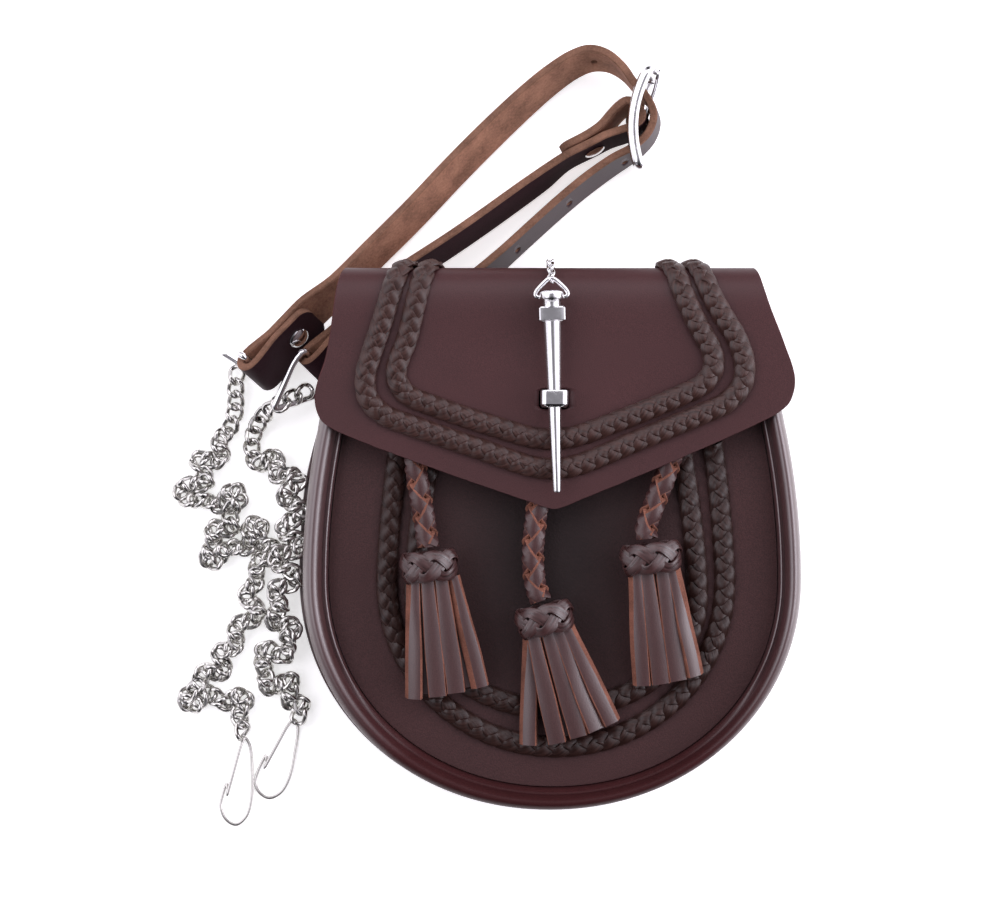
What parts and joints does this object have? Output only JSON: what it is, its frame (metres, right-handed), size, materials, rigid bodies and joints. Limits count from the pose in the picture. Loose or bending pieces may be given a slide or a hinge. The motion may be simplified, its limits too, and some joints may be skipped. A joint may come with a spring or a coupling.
{
  "type": "sporran pouch",
  "caption": "Leather day sporran lying on its back: hollow pouch with folded flap, plaited trims, tassels and a peg closure, its buckled strap, rings, chains and clips laid beside it.",
  "frame": {"origin": "point on the flat back where it rests on the floor, midway between the pouch's sides", "axes": "+Z out of the front, +Y towards the folded top edge, +X to the right seen from the front"},
  "size_m": [0.239, 0.3022, 0.0538],
  "materials": {
    "pouch_leather": "satin",
    "dark_leather": "satin",
    "tassel_leather": "satin",
    "strap_leather": "matte",
    "steel": "polished"
  },
  "bodies": {
    "root": {"back_and_flap": "pouch_leather", "front_panel": "pouch_leather", "gusset": "dark_leather", "flap_plait_outer": "dark_leather", "flap_plait_inner": "dark_leather", "front_plait_outer": "dark_leather", "front_plait_inner": "dark_leather", "tassel_cord_left": "tassel_leather", "tassel_knot_left": "tassel_leather", "tassel_fringe_left": "tassel_leather", "tassel_cord_middle": "tassel_leather", "tassel_knot_middle": "tassel_leather", "tassel_fringe_middle": "tassel_leather", "tassel_cord_right": "tassel_leather", "tassel_knot_right": "tassel_leather", "tassel_fringe_right": "tassel_leather", "strap_long": "strap_leather", "strap_short": "strap_leather", "peg": "steel", "peg_bail": "steel", "peg_chain": "steel", "peg_stud": "steel", "staple": "steel", "rivet_long": "steel", "rivet_short": "steel", "rivet_buckle": "steel", "buckle_frame": "steel", "buckle_prong": "steel", "ring_left": "steel", "ring_right": "steel", "chain_left": "steel", "chain_right": "steel", "clip_left": "steel", "clip_right": "steel"}
  },
  "joints": []
}
